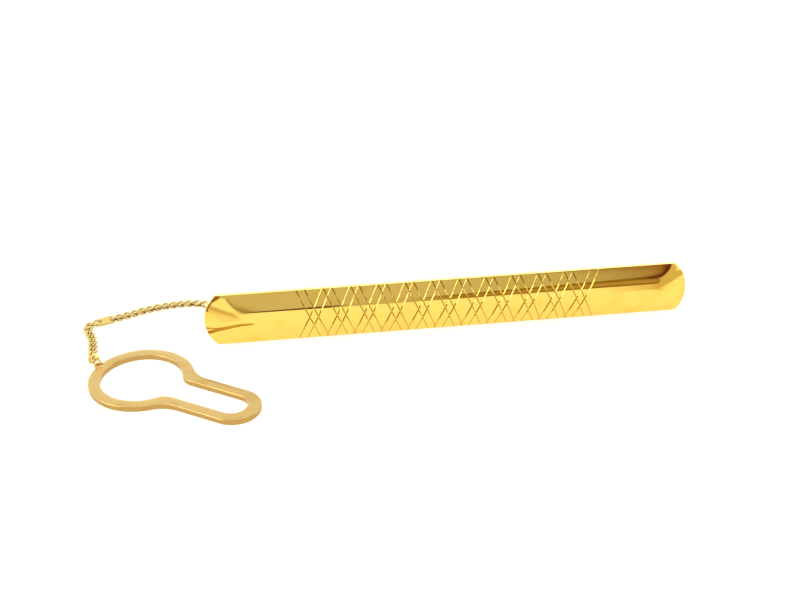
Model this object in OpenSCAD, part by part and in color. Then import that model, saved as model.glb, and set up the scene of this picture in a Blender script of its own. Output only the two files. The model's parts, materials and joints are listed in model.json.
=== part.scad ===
// Tie clip with a safety chain and a button loop.
// The bar stands on its long lower edge and leans back on the clip behind it, as it was put down.
// The chain leaves the clip behind the bar's left end and lies on the table round to the loop.

/* [Bar] */
// Length of the bar over its rounded ends
bar_l = 65; // [50:0.5:80]
// Width of the bar
bar_w = 6.5; // [6.2:0.1:7.5]
// Height of the crown above the bar's front edge
crown_h = 0.8; // [0.5:0.05:1.2]
// Depth of the turned edge behind the crown
edge_h = 1; // [0.8:0.05:1.6]
// Thickness of the stamped front
bar_wall = 0.45; // [0.3:0.05:0.6]
// How far each end bulges in the middle
end_bulge = 1.55; // [0.8:0.05:2.4]
// Length over which the front rolls back at each end
end_roll = 4.5; // [2:0.1:5]
// How far the front rolls back at the tip
end_drop = 0.75; // [0.4:0.05:0.8]
// Thickness of the plate that closes the back
back_t = 0.35; // [0.25:0.05:0.5]
// Gap round the back plate
back_gap = 0.03; // [0.02:0.01:0.08]

/* [Engraving] */
// Number of crossings along the bar
cross_count = 11; // [5:1:13]
// Distance from one crossing to the next
cross_pitch = 3.57; // [2.8:0.01:4]
// Distance between the two lines of a pair
pair_gap = 1; // [0.8:0.02:1.6]
// Lean of the lines from square to the bar, in degrees
line_lean = 27.5; // [15:0.1:40]
// Width of an engraved line
line_w = 0.2; // [0.1:0.02:0.3]
// Depth of an engraved line
line_d = 0.08; // [0.04:0.01:0.12]
// How far the pattern sits off the bar's middle
pattern_off = -0.35; // [-1:0.05:1]

/* [Clip] */
// Width over the clip's ears
clip_w = 4.7; // [4.4:0.1:5]
// Depth from the bar's front edge to the ears' tops
ear_depth = 4.2; // [4.1:0.05:4.8]
// Length of each ear along the bar
ear_l = 3.4; // [2.6:0.1:4.4]
// Thickness of the clip's base strip and ears
base_t = 0.4; // [0.3:0.05:0.5]
// Width of the base strip
base_w = 4; // [3.6:0.1:4.4]
// Place of the hinge, left of the bar's middle
hinge_left = 9; // [6:0.5:12]
// Radius of the hinge pin
pin_r = 0.45; // [0.35:0.05:0.5]
// Height of the pin over the base strip
pin_over_base = 1.25; // [1.2:0.05:1.35]
// Gap between the pin and the jaw's holes
pin_play = 0.05; // [0.03:0.01:0.08]
// Gap between the pin and the ears' holes
pin_seat_gap = 0.01; // [0.005:0.005:0.02]
// Reach of the jaw from the hinge to the mouth
mouth_reach = 29; // [22:0.5:34]
// Reach of the thumb tail from the hinge
tail_reach = 15; // [12:0.5:16]
// Thickness of the jaw's sheet
jaw_t = 0.35; // [0.25:0.05:0.4]
// Gap between the jaw and each ear
jaw_side_gap = 0.12; // [0.08:0.02:0.2]
// Height of the jaw's back over the base strip at the hinge
jaw_h = 2.7; // [2.65:0.05:2.8]
// Height of the jaw over the base strip at the mouth
tip_h = 0.95; // [0.8:0.05:1.2]
// Height of the thumb tail's end over the base strip
tail_h = 4.2; // [4.1:0.05:4.4]
// Depth of the thumb tail's sides
tail_side = 0.9; // [0.6:0.05:0.95]
// Gap between the closed teeth and the base strip
bite_gap = 0.05; // [0.03:0.01:0.1]
// Distance from one tooth to the next
tooth_pitch = 0.9; // [0.6:0.05:1.4]
// Depth of the teeth
tooth_d = 0.35; // [0.2:0.05:0.45]
// Number of teeth on each side of the mouth
tooth_count = 9; // [5:1:12]

/* [Spring] */
// Thickness of the spring wire
spring_wire = 0.3; // [0.2:0.02:0.32]
// Radius of the coil to the middle of the wire
spring_r = 0.8; // [0.75:0.01:0.84]
// Full turns of the coil
spring_turns = 3; // [2:1:3]
// Distance from one turn to the next
spring_pitch = 0.75; // [0.72:0.01:0.8]
// Length of each leg
spring_leg = 5; // [3.5:0.25:7]

/* [Chain] */
// Distance from one link to the next
link_pitch = 1.08; // [1.04:0.01:1.3]
// Thickness of the link wire
link_wire = 0.3; // [0.26:0.01:0.32]
// Outer width of a link
link_w = 1.3; // [1.2:0.02:1.4]
// Play between two links
link_play = 0.08; // [0.06:0.01:0.1]
// Slope of each link to the table, in degrees
link_tilt = 38; // [32:1:44]
// Length that the joining tag takes in the chain
tag_pitch = 1.9; // [1.7:0.05:2.4]
// Width of the joining tag
tag_w = 0.95; // [0.9:0.01:1.05]
// Thickness of the joining tag
tag_t = 0.28; // [0.2:0.02:0.32]
// Radius of the holes in the joining tag
tag_hole_r = 0.27; // [0.25:0.01:0.29]
// Mean radius of the ring on the clip
clip_ring_r = 1; // [0.95:0.05:1.2]
// Thickness of the ring on the clip
clip_ring_wire = 0.34; // [0.3:0.02:0.4]
// Place of the chain's tab, left of the bar's middle
tab_left = 28.6; // [26.5:0.1:29]
// Mean radius of the ring on the button loop
loop_ring_r = 0.85; // [0.84:0.01:0.95]
// Thickness of the ring on the button loop
loop_ring_wire = 0.3; // [0.26:0.02:0.32]

/* [Button loop] */
// Outer radius of the loop's round part
loop_r = 6.45; // [5.8:0.05:7.5]
// Outer radius of the slot's end, half the width of the narrow part
slot_r = 3.28; // [2.8:0.02:3.6]
// Distance from the round part's centre to the slot end's centre
slot_reach = 13.45; // [12:0.05:16]
// Width of the band
band_w = 1.42; // [1:0.02:1.6]
// Extra width of the band at the slot's end
slot_end_extra = 0.25; // [0:0.05:0.5]
// Thickness of the plate
loop_t = 0.7; // [0.6:0.02:0.9]
// Radius of the outer hollows at the waist
waist_r = 4.35; // [3:0.05:6]
// Radius of the inner bends at the waist
neck_r = 3; // [2:0.1:4]
// Radius of the hole for the ring
ear_hole_r = 0.4; // [0.38:0.01:0.42]
// Width of the ear round that hole
ear_web = 0.26; // [0.22:0.02:0.3]
// Thickness of the ear
ear_t = 0.27; // [0.2:0.01:0.3]
// How far the hole lies inside the outer edge of the band
ear_in = 0.1; // [0:0.05:0.2]

/* [Hidden] */
$fn = 96;
over = 0.5; // overrun of every cut
pattern_over = 2; // extra length of an engraving cut

// Bar
bar_z = bar_w / 2;
end_r = (bar_z ^ 2 + end_bulge ^ 2) / (2 * end_bulge);
end_cx = bar_l / 2 - end_r;
crown_r = (bar_z ^ 2 + crown_h ^ 2) / (2 * crown_h);
roll_r = (end_roll ^ 2 + end_drop ^ 2) / (2 * end_drop);
roll_cx = bar_l / 2 - end_roll;
crest_y = -crown_h;
// The bar stands on its lower edge's rear corner and leans until the ears' outer corners meet the table.
lean = atan((bar_w - clip_w) / 2 / (ear_depth - edge_h));
lift = edge_h * sin(lean); // height of the bar's front corner over the table

// Clip
base_y = edge_h + base_t;
hinge_x = -hinge_left;
pin_y = base_y + pin_over_base;
jaw_w = clip_w - 2 * base_t - 2 * jaw_side_gap;
jaw_back_y = base_y + jaw_h;
jaw_flat_share = 0.3; // of the ear's length, where the jaw's back lies level over the pin
heel_share = 0.3; // of the ear's length, half the width of the jaw's heel under the pin
heel_gap = 0.35;
throat_h = 0.55;
mouth_x = hinge_x + mouth_reach;
base_end_gap = 1;
tab_x = -tab_left;
tab_hole_r = 0.45;
tab_web = 0.5;
tab_drop = 1; // the tab's hole lies this far below the strip's middle line
tab_rise = 1.2; // and this far behind the strip
tab_hole = [tab_x, base_y + tab_rise, bar_z - tab_drop];

// Points of the part, as it leans on the table
function leaned(p) = [
    p[0],
    p[1] * cos(lean) + p[2] * sin(lean),
    p[2] * cos(lean) - p[1] * sin(lean) + lift
];
hole_at = leaned(tab_hole);

// Chain: every element reaches from one joint to the next, and slopes the other way to its neighbours.
wire_r = link_wire / 2;
link_b = link_w / 2 - wire_r;
link_s = (link_pitch + link_play + link_wire) / 2 - link_b;
link_z = link_b * sin(link_tilt) + wire_r;
// The chain bends in runs: so many elements, and the turn of each of them to the left, in degrees.
bend_counts = [10, 1, 5, 3, 1, 1, 2, 1, 1, 1, 1, 1, 1, 1];
bend_turns = [9.4, 5, 4.2, -2, 2, 3.5, 42, 2, -8, -6, -3, 0, 2, 4];
first_heading = 85;
ring_turn = 28.5; // from the last link to the ring on the loop
loop_turn = 17.8; // from that ring to the loop
tag_index = 20;
turns = [for (run = [0:len(bend_counts) - 1]) for (i = [1:bend_counts[run]]) bend_turns[run]];
element_count = len(turns);
link_count = element_count - 1;
function sum_to(list, last) = last < 0 ? 0 : list[last] + sum_to(list, last - 1);
headings = [for (i = [0:element_count - 1]) first_heading + sum_to(turns, i)];
function pitch_of(i) = i == tag_index ? tag_pitch : link_pitch;
// The last link climbs to the ring that stands on the loop.
last_climb = 15;
function climb_of(i) = i == element_count ? last_climb : 0;
function way(h, climb = 0) = [cos(h) * cos(climb), sin(h) * cos(climb), sin(climb)];
// Ring on the clip: it hangs from the tab's hole down to the first link.
clip_ring_reach = 2 * clip_ring_r - clip_ring_wire / 2 - link_play / 2;
clip_ring_dip = asin((hole_at[2] - link_z) / clip_ring_reach);
first_joint = [hole_at[0], hole_at[1] + clip_ring_reach * cos(clip_ring_dip), link_z];
steps_along = [for (i = [1:element_count]) pitch_of(i) * way(headings[i - 1], climb_of(i))];
function joint_at(i) = i == 0 ? first_joint : joint_at(i - 1) + steps_along[i - 1];
joints = [for (i = [0:element_count]) joint_at(i)];
last_joint = joints[element_count];

// Ring on the loop: it stands on the table, through the last link and the ear.
loop_ring_heading = headings[element_count - 1] + ring_turn;
loop_heading = loop_ring_heading + loop_turn;
loop_ring_z = loop_ring_r + loop_ring_wire / 2;
ear_mid_z = loop_t - ear_t / 2;
function ring_reach(z) = sqrt(loop_ring_r ^ 2 - (loop_ring_z - z) ^ 2);
hook_in = (loop_ring_wire + link_play) / 2; // from the joint to the ring's wire inside the last link
loop_ring_c = [last_joint[0], last_joint[1], loop_ring_z]
    + (ring_reach(last_joint[2]) - hook_in) * way(loop_ring_heading);
ear_hole_at = loop_ring_c
    + ring_reach(ear_mid_z) * way(loop_ring_heading)
    + [0, 0, ear_mid_z - loop_ring_z];
ear_reach = loop_r - ear_in; // from the round part's centre to the ear's hole
loop_c = [ear_hole_at[0], ear_hole_at[1], 0] + ear_reach * way(loop_heading);
ear_relief = 0.15; // room round the ring under the ear

// The origin lies on the table, under the middle of the part's box.
function half_along(c, s) = link_s * abs(c) + link_b * norm([c, s * cos(link_tilt)]) + wire_r;
function half_x(h) = half_along(cos(h), sin(h));
function half_y(h) = half_along(sin(h), cos(h));
function middle(i) = (joints[i - 1] + joints[i]) / 2;
slot_c = loop_c + slot_reach * way(loop_heading);
low_x = min([for (i = [1:element_count]) middle(i)[0] - half_x(headings[i - 1])]);
high_y = max([for (i = [1:element_count]) middle(i)[1] + half_y(headings[i - 1])]);
low_y = min(slot_c[1] - slot_r, loop_c[1] - loop_r);
origin = [(low_x + bar_l / 2) / 2, (low_y + high_y) / 2, 0];

// Spring: one leg on the base strip, the coil round the pin, and one leg under the jaw's back.
spring_sides = 6;
spring_steps = 8; // rings to a turn
leg_steps = 3;
leg_seat_gap = 0.03;
spring_angle = 180 + 360 * spring_turns;
spring_rise = spring_pitch * spring_angle / 360;
base_leg_end = [-spring_leg, base_y + spring_wire / 2 + leg_seat_gap - pin_y];
tail_slope = (tail_h - jaw_h) / (tail_reach - jaw_flat_share * ear_l);
tail_at_leg = jaw_back_y + (spring_leg - jaw_flat_share * ear_l) * tail_slope - jaw_t; // under the jaw's back
jaw_leg_end = [-spring_leg, tail_at_leg - spring_wire / 2 - leg_seat_gap - pin_y];
function mix(a, b, t) = a + (b - a) * t;
base_leg = [
    for (i = [0:leg_steps - 1]) concat(mix(base_leg_end, [0, -spring_r], i / leg_steps), -spring_rise / 2)
];
coil = [
    for (i = [0:spring_steps * spring_angle / 360])
        let (a = -90 + i * 360 / spring_steps, f = i * 360 / spring_steps / spring_angle)
            [spring_r * cos(a), spring_r * sin(a), spring_rise * (f - 1 / 2)]
];
jaw_leg = [for (i = [1:leg_steps]) concat(mix([0, spring_r], jaw_leg_end, i / leg_steps), spring_rise / 2)];
spring_path = concat(base_leg, coil, jaw_leg);
// Least gap between two turns of the wire, over points that are half a turn or more apart
turn_gap = min([
    for (i = [0:len(coil) - 1]) for (j = [i + spring_steps / 2:1:len(coil) - 1]) norm(coil[i] - coil[j])
]) - spring_wire;
echo(least_gap_of_the_spring_to_itself = turn_gap);

function number(i) = str(i < 10 ? "0" : "", i);
function link_name(i) = str("chain_link_", number(i));

// Places a shape of the table's frame
module on_table() {
    translate(-origin) children();
}

// Places a shape of the bar's own frame: x along it, y to its back, z up its width
module on_bar() {
    on_table() translate([0, 0, lift]) rotate([-lean, 0, 0]) children();
}

// Extrudes an outline of x and z through the depths from y0 to y1
module through_depth(y0, y1) {
    translate([0, y1, 0]) rotate([90, 0, 0]) linear_extrude(y1 - y0) children();
}

// Plan of the bar, drawn in by an inset
module bar_plan(inset) {
    intersection() {
        translate([-bar_l / 2, inset]) square([bar_l, bar_w - 2 * inset]);
        union() {
            translate([-end_cx, 0]) square([2 * end_cx, bar_w]);
            for (side = [-1, 1]) translate([side * end_cx, bar_z]) circle(end_r - inset);
        }
    }
}

// Lengthways section of the bar in x and y, drawn in by an inset
module bar_profile(inset, back) {
    top = crest_y + inset;
    translate([-roll_cx, top]) square([2 * roll_cx, back - top]);
    for (side = [-1, 1]) intersection() {
        translate([side * roll_cx, crest_y + roll_r]) circle(roll_r - inset, $fn = 4 * $fn);
        translate([side * (roll_cx + end_roll / 2) - end_roll / 2 - over / 2, top])
            square([end_roll + over, back - top]);
    }
}

// Cross-section of the bar in z and y, drawn in by an inset
module bar_section(inset, back) {
    intersection() {
        translate([inset, crest_y]) square([bar_w - 2 * inset, back - crest_y]);
        translate([bar_z, crest_y + crown_r]) circle(crown_r - inset, $fn = 4 * $fn);
    }
}

// The crowned bar as a solid from its front to the depth of back, drawn in by an inset
module bar_blank(inset, back) {
    intersection() {
        through_depth(crest_y - over, back) bar_plan(inset);
        translate([0, 0, -over]) linear_extrude(bar_w + 2 * over) bar_profile(inset, back);
        translate([-bar_l / 2 - over, 0, 0]) rotate([0, 90, 0]) mirror([1, 0, 0])
            linear_extrude(bar_l + 2 * over) bar_section(inset, back);
    }
}

// One engraved line as a thin wall across the bar
module line_wall(x, side) {
    translate([x, 0, bar_z]) rotate([0, side * line_lean, 0])
        translate([-line_w / 2, crest_y - over, -bar_w / 2 - pattern_over])
            cube([line_w, crown_h + over, bar_w + 2 * pattern_over]);
}

// All engraved lines, down to their depth under the crown
module engraving() {
    difference() {
        for (i = [0:cross_count - 1]) for (side = [-1, 1]) for (pair = [-1, 1])
            line_wall(
                pattern_off
                    + (i - (cross_count - 1) / 2) * cross_pitch
                    + pair * pair_gap / cos(line_lean) / 2,
                side
            );
        translate([-bar_l / 2 - over, crest_y + crown_r, bar_z]) rotate([0, 90, 0])
            cylinder(r = crown_r - line_d, h = bar_l + 2 * over, $fn = 4 * $fn);
    }
}

// Stamped front with its turned edge, hollow behind
module front_bar() {
    color("gold") on_bar() difference() {
        bar_blank(0, edge_h);
        bar_blank(bar_wall, edge_h + over);
        engraving();
    }
}

// Plate that closes the back, let in flush with the edge
module back_plate() {
    color("goldenrod") on_bar() through_depth(edge_h - back_t, edge_h) bar_plan(bar_wall + back_gap);
}

// Outline of one ear: a plate with two rounded corners
module ear_outline() {
    corner = ear_l / 4;
    translate([hinge_x - ear_l / 2, edge_h]) square([ear_l, ear_depth - edge_h - corner]);
    translate([hinge_x - ear_l / 2 + corner, edge_h]) square([ear_l - 2 * corner, ear_depth - edge_h]);
    for (side = [-1, 1]) translate([hinge_x + side * (ear_l / 2 - corner), ear_depth - corner])
        circle(corner);
}

// Base strip with two ears for the pin and an upturned tab for the chain
module clip_base() {
    left = tab_x - base_t / 2;
    tab_half = tab_hole_r + tab_web;
    color("goldenrod") on_bar() difference() {
        union() {
            translate([left, edge_h, bar_z - base_w / 2])
                cube([mouth_x + base_end_gap - left, base_t, base_w]);
            translate([hinge_x - ear_l / 2, edge_h, bar_z - clip_w / 2]) cube([ear_l, base_t, clip_w]);
            for (z = [bar_z - clip_w / 2, bar_z + clip_w / 2 - base_t]) translate([0, 0, z])
                linear_extrude(base_t) ear_outline();
            translate([left, edge_h, tab_hole[2] - tab_half])
                cube([base_t, tab_hole[1] - edge_h, 2 * tab_half]);
            translate([left, tab_hole[1], tab_hole[2]]) rotate([0, 90, 0])
                cylinder(r = tab_half, h = base_t);
        }
        translate([hinge_x, pin_y, bar_z - clip_w / 2 - over])
            cylinder(r = pin_r + pin_seat_gap, h = clip_w + 2 * over);
        translate([left - over, tab_hole[1], tab_hole[2]]) rotate([0, 90, 0])
            cylinder(r = tab_hole_r, h = base_t + 2 * over);
    }
}

// Pin, peened flush with the ears
module hinge_pin() {
    color("darkgoldenrod") on_bar() translate([hinge_x, pin_y, bar_z - clip_w / 2])
        cylinder(r = pin_r, h = clip_w);
}

// Side view of the jaw: back from mouth to tail, then the sides' lower edge with its teeth
function teeth() = [
    for (i = [0:tooth_count - 1]) for (half = [0, 1])
        [mouth_reach - (i + half / 2) * tooth_pitch, base_y + bite_gap + half * tooth_d]
];
module jaw_outline(drop) {
    flat = jaw_flat_share * ear_l;
    heel = heel_share * ear_l;
    tooth_end = mouth_reach - tooth_count * tooth_pitch;
    translate([hinge_x, -drop]) polygon(concat(
        [
            [mouth_reach, base_y + tip_h],
            [flat, jaw_back_y],
            [-flat, jaw_back_y],
            [-tail_reach, base_y + tail_h],
            [-tail_reach, base_y + tail_h - tail_side],
            [-heel, base_y + heel_gap],
            [heel, base_y + heel_gap],
            [tooth_end, base_y + throat_h]
        ],
        [for (p = teeth()) [mouth_reach * 2 - tooth_count * tooth_pitch - p[0], p[1]]]
    ));
}

// Sprung jaw: a folded channel with teeth at the mouth and a thumb tail behind the pin
module jaw() {
    inside = jaw_w - 2 * jaw_t;
    color("gold") on_bar() difference() {
        translate([0, 0, bar_z - jaw_w / 2]) linear_extrude(jaw_w) jaw_outline(0);
        translate([0, 0, bar_z - inside / 2]) linear_extrude(inside) jaw_outline(jaw_t);
        translate([hinge_x, pin_y, bar_z - jaw_w / 2 - over])
            cylinder(r = pin_r + pin_play, h = jaw_w + 2 * over);
    }
}

// A round wire swept along points, with its rings square to the way it runs
module swept_wire(path, r, sides) {
    last = len(path) - 1;
    function along(i) =
        let (d = path[min(i + 1, last)] - path[max(i - 1, 0)]) d / norm(d);
    function across(i) =
        let (s = cross(along(i), [0, 0, 1])) s / norm(s);
    points = [
        for (i = [0:last]) for (k = [0:sides - 1])
            let (a = 360 * k / sides, s = across(i))
                path[i] + r * (cos(a) * s + sin(a) * cross(s, along(i)))
    ];
    walls = [
        for (i = [0:last - 1]) for (k = [0:sides - 1])
            let (a = i * sides + k, b = i * sides + (k + 1) % sides)
                each [[a, b, b + sides], [a, b + sides, a + sides]]
    ];
    caps = [[for (k = [sides - 1:-1:0]) k], [for (k = [0:sides - 1]) last * sides + k]];
    polyhedron(points, concat(walls, caps));
}

// Torsion spring round the pin, between the base strip and the thumb tail
module torsion_spring() {
    color("silver") on_bar() translate([hinge_x, pin_y, bar_z])
        swept_wire(spring_path, spring_wire / 2, spring_sides);
}

// A ring of round wire, lying flat round the origin
module wire_ring(mean_r, wire) {
    rotate_extrude() translate([mean_r, 0]) circle(wire / 2, $fn = 32);
}

// Ring that carries the chain on the clip's tab
module clip_ring() {
    color("gold") on_table() translate(hole_at) rotate([-clip_ring_dip, 0, 0]) rotate([0, link_tilt, 0])
        translate([0, clip_ring_r, 0]) wire_ring(clip_ring_r, clip_ring_wire);
}

// Places one element of the chain between its two joints, sloped to its own side
module in_chain(i) {
    slope = i % 2 == 0 ? link_tilt : -link_tilt;
    on_table() translate(middle(i)) rotate([0, -climb_of(i), headings[i - 1]])
        rotate([slope, 0, 0]) children();
}

// One oval link: two half rings and two straights
module link_shape() {
    for (end = [0, 180]) rotate([0, 0, end]) {
        translate([link_s, 0, 0]) rotate([0, 0, -90]) rotate_extrude(angle = 180)
            translate([link_b, 0]) circle(wire_r, $fn = 32);
        translate([-link_s, link_b, 0]) rotate([0, 90, 0]) cylinder(r = wire_r, h = 2 * link_s, $fn = 32);
    }
}

// Links are counted from the clip to the loop, past the tag that takes one place among them.
module chain_link(number) {
    color("gold") in_chain(number < tag_index ? number : number + 1) link_shape();
}

// Flat tag that joins the two lengths of chain, with a hole at each end
module joining_tag() {
    reach = tag_pitch / 2 - wire_r - link_play / 2;
    color("khaki") in_chain(tag_index) translate([0, 0, -tag_t / 2]) difference() {
        union() {
            translate([-reach, -tag_w / 2, 0]) cube([2 * reach, tag_w, tag_t]);
            for (side = [-1, 1]) translate([side * reach, 0, 0]) cylinder(r = tag_w / 2, h = tag_t);
        }
        for (side = [-1, 1]) translate([side * reach, 0, -over])
            cylinder(r = tag_hole_r, h = tag_t + 2 * over);
    }
}

// Ring that stands in the loop's ear
module loop_ring() {
    color("gold") on_table() translate(loop_ring_c) rotate([0, 0, loop_ring_heading]) rotate([90, 0, 0])
        wire_ring(loop_ring_r, loop_ring_wire);
}

// Keyhole outline: a round part of radius big, a slot of half-width small, and a bend between them
module keyhole(big, small, reach, bend) {
    bend_x = sqrt((big + bend) ^ 2 - (small + bend) ^ 2);
    difference() {
        union() {
            circle(big);
            translate([0, -small]) square([reach, 2 * small]);
            translate([reach, 0]) circle(small);
            translate([0, -small - bend]) square([bend_x, 2 * (small + bend)]);
        }
        for (side = [-1, 1]) {
            translate([bend_x, side * (small + bend)]) circle(bend);
            keyhole_waste(big, small, bend, bend_x, side);
        }
    }
}

// What the block at the waist leaves beyond the line from the round part to the bend
module keyhole_waste(big, small, bend, bend_x, side) {
    far = big + bend;
    touch = [bend_x, side * (small + bend)] * big / far;
    difference() {
        polygon([
            [0, side * big], [0, side * (far + over)], [bend_x + over, side * (far + over)],
            [bend_x, side * (small + bend)], touch
        ]);
        circle(big);
    }
}

// Flat keyhole loop that goes round a shirt button, with an ear for the ring
module button_loop() {
    color("khaki") on_table() translate(loop_c) rotate([0, 0, loop_heading]) difference() {
        union() {
            linear_extrude(loop_t) keyhole(loop_r, slot_r, slot_reach, waist_r);
            translate([-ear_reach, 0, loop_t - ear_t]) cylinder(r = ear_hole_r + ear_web, h = ear_t);
        }
        translate([0, 0, -over]) linear_extrude(loop_t + 2 * over)
            keyhole(loop_r - band_w, slot_r - band_w, slot_reach - slot_end_extra, neck_r);
        translate([-ear_reach, 0, -over]) cylinder(r = ear_hole_r, h = loop_t + 2 * over);
        translate([-ear_reach - ear_hole_r - ear_web, 0, -over])
            cylinder(r = 2 * ear_hole_r + ear_web + ear_relief, h = over + loop_t - ear_t);
    }
}

front_bar();
back_plate();
clip_base();
hinge_pin();
torsion_spring();
jaw();
clip_ring();
for (i = [1:link_count]) chain_link(i);
joining_tag();
loop_ring();
button_loop();
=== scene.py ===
"""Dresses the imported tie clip: the engraved bar, the clip behind it, the safety chain and the button loop."""

import json
import logging
import math
from dataclasses import dataclass, field
from enum import Enum

import bmesh
import bpy
import numpy as np
from mathutils import Matrix, Vector

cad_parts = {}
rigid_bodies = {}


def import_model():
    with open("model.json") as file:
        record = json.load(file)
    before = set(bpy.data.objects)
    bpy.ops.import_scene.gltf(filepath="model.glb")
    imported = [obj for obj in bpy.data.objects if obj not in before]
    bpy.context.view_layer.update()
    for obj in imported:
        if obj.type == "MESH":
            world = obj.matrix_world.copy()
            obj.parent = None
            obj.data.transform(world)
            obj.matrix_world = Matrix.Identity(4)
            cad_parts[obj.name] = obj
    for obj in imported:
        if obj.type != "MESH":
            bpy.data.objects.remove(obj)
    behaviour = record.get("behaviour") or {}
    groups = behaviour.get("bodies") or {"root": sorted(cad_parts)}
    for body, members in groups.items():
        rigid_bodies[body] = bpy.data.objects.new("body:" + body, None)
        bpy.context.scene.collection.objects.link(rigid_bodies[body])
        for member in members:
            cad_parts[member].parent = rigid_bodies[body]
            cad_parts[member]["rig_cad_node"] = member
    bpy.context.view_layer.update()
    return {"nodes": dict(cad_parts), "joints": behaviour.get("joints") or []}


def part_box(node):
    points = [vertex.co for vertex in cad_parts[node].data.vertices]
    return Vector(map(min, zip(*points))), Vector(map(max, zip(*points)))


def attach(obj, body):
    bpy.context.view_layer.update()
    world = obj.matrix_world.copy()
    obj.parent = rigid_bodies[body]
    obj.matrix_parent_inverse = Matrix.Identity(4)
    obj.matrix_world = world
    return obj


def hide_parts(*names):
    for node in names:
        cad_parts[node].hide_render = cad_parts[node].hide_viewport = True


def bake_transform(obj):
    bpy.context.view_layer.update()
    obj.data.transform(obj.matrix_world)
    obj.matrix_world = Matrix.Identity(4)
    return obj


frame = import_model()
log = logging.getLogger("tie_clip")

MM = 0.001
# Name of the mesh attribute that marks engraved or sheared faces, which take painted shade
PAINTED_SHADE_MARK = "cut"
# Sockets of the Mix node that have the same name for a number and a colour
MIX_FACTOR, MIX_VALUE_A, MIX_VALUE_B, MIX_VALUE = 0, 2, 3, 0
MIX_COLOUR_A, MIX_COLOUR_B, MIX_COLOUR = 6, 7, 2

Socket = bpy.types.NodeSocket
Faces = list[tuple[int, ...]]
Solid = tuple[np.ndarray, Faces]


class Joining(Enum):
    """How a solid is put to another."""

    UNION = "UNION"
    DIFFERENCE = "DIFFERENCE"


class Grain(Enum):
    """How a metal surface was finished, as the detail of the noise that draws its grain."""

    POLISHED = 2.0
    LINED = 4.0
    SATIN = 5.0


def srgb(hex_value: str) -> tuple[float, float, float, float]:
    """Turns an sRGB hex colour into the linear colour that a shader takes.

    Args:
        hex_value: Six hex digits.

    Returns:
        Red, green, blue and alpha, from 0 to 1.
    """
    parts = [int(hex_value[i : i + 2], 16) / 255 for i in (0, 2, 4)]
    linear = [p / 12.92 if p <= 0.04045 else ((p + 0.055) / 1.055) ** 2.4 for p in parts]
    return (linear[0], linear[1], linear[2], 1.0)


def add_node(
    tree: bpy.types.NodeTree, kind: str, inputs: dict | None = None, **settings: object
) -> bpy.types.Node:
    """Adds a node with its settings, and fills its inputs with values or links.

    Args:
        tree: The node tree that takes the node.
        kind: Blender's name of the node type.
        inputs: Values or output sockets, by input name or number.
        **settings: Properties of the node itself.

    Returns:
        The new node.
    """
    made = tree.nodes.new(kind)
    for name, value in settings.items():
        setattr(made, name, value)
    for key, value in (inputs or {}).items():
        if isinstance(value, Socket):
            tree.links.new(value, made.inputs[key])
        else:
            made.inputs[key].default_value = value
    return made


def box_middle(node: str) -> Vector:
    """Middle of a CAD node's box, in metres."""
    low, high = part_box(node)
    return (low + high) / 2


def joint_of(child: str) -> dict:
    """The joint that carries a body."""
    return next(j for j in frame["joints"] if j["child"] == child)


def anchor_of(child: str) -> Vector:
    """Place of the joint that carries a body, in metres."""
    return Vector(joint_of(child)["pos_m"])


def new_object(name: str, mesh: bpy.types.Mesh) -> bpy.types.Object:
    """Links a mesh into the scene as an object at the origin.

    Args:
        name: Name of the object.
        mesh: Its mesh.

    Returns:
        The new object.
    """
    made = bpy.data.objects.new(name, mesh)
    bpy.context.scene.collection.objects.link(made)
    return made


def mesh_from(name: str, points: np.ndarray, faces: Faces, sharp_deg: float = 35) -> bpy.types.Mesh:
    """Builds a smooth-shaded mesh with sharp edges where faces meet at a steep angle.

    Args:
        name: Name of the mesh.
        points: Points in metres, one row each.
        faces: Point numbers of each face.
        sharp_deg: Angle between faces above which their edge is sharp.

    Returns:
        The mesh.
    """
    mesh = bpy.data.meshes.new(name)
    mesh.from_pydata([tuple(p) for p in points], [], faces)
    mesh.validate()
    mesh.shade_smooth()
    mesh.set_sharp_from_angle(angle=math.radians(sharp_deg))
    mesh.update()
    return mesh


def mark_painted_shade(mesh: bpy.types.Mesh, marks: np.ndarray) -> None:
    """Writes how far each face takes painted shade as an engraved or sheared one, from 0 to 1.

    Args:
        mesh: The mesh.
        marks: One number for each of its faces.
    """
    mesh.attributes.new(PAINTED_SHADE_MARK, "FLOAT", "FACE").data.foreach_set("value", marks)


def section_frames(path: np.ndarray, along: np.ndarray, closed: bool) -> tuple[np.ndarray, float]:
    """Carries a direction square to a path along it, without turning it about the path.

    Args:
        path: Points of the centre line, one row each.
        along: Direction of the path at each point.
        closed: Whether the path joins its own start.

    Returns:
        The direction at each point, and the angle by which it misses its start on a closed path.
    """
    off_path = [0.31, 0.17, 0.93]
    start = np.cross(along[0], off_path)
    start = start / np.linalg.norm(start)
    found = []
    for direction in along:
        start = start - direction * start.dot(direction)
        start = start / np.linalg.norm(start)
        found.append(start)
    slip = 0.0
    if closed:
        last = found[-1] - along[0] * found[-1].dot(along[0])
        last /= np.linalg.norm(last)
        slip = math.atan2(np.cross(last, found[0]).dot(along[0]), last.dot(found[0]))
    return np.array(found), slip


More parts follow.
